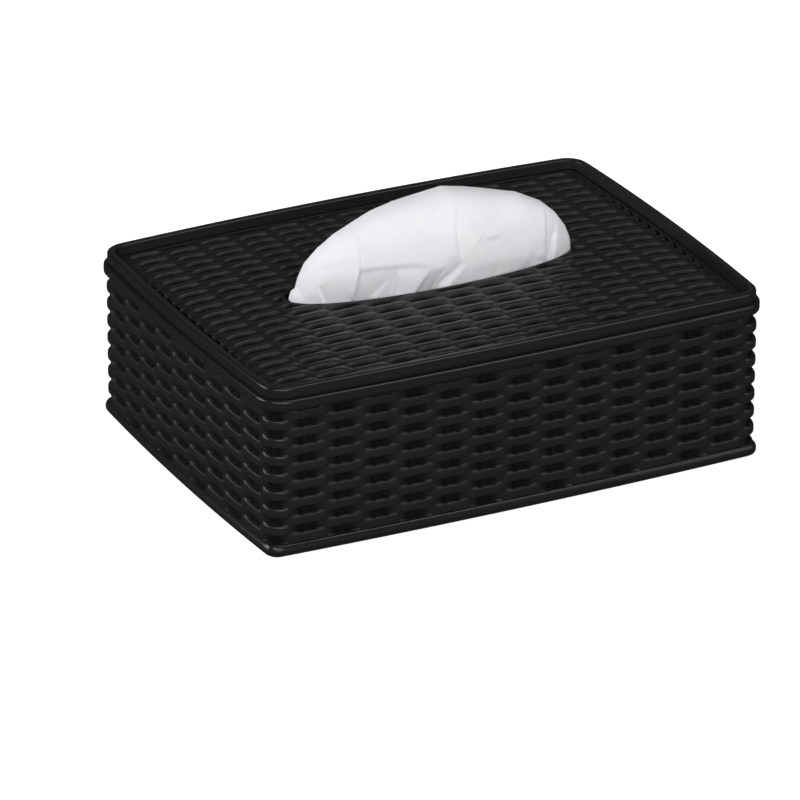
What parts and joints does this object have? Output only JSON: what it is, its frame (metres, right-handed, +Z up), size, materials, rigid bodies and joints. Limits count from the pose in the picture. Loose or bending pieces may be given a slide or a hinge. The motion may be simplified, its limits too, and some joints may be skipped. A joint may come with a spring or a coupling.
{
  "type": "tissue box with lift-off lid",
  "caption": "Low rectangular tissue box moulded to look like woven cane, with a lift-off lid, a raised oval slot and a tissue pulled up through it.",
  "frame": {"origin": "middle of the box's underside, on the surface it stands on", "axes": "+Z up, +X along the long side, +Y towards the rear wall"},
  "size_m": [0.2572, 0.1888, 0.1204],
  "materials": {
    "charcoal_plastic": "satin moulded",
    "tissue_paper": "soft two-ply tissue"
  },
  "bodies": {
    "box": {"body": "charcoal_plastic", "tissue_stack": "tissue_paper", "next_tissue": "tissue_paper"},
    "lid": {"lid": "charcoal_plastic"},
    "tissue": {"leading_tissue": "tissue_paper"}
  },
  "joints": [
    {"name": "lid_lift", "type": "slide", "parent": "box", "child": "lid", "axis": [0, 0, 1], "range_m": [0, 0.06]},
    {"name": "tissue_pull", "type": "slide", "parent": "lid", "child": "tissue", "axis": [0, 0, 1], "range_m": [0, 0.09]}
  ]
}
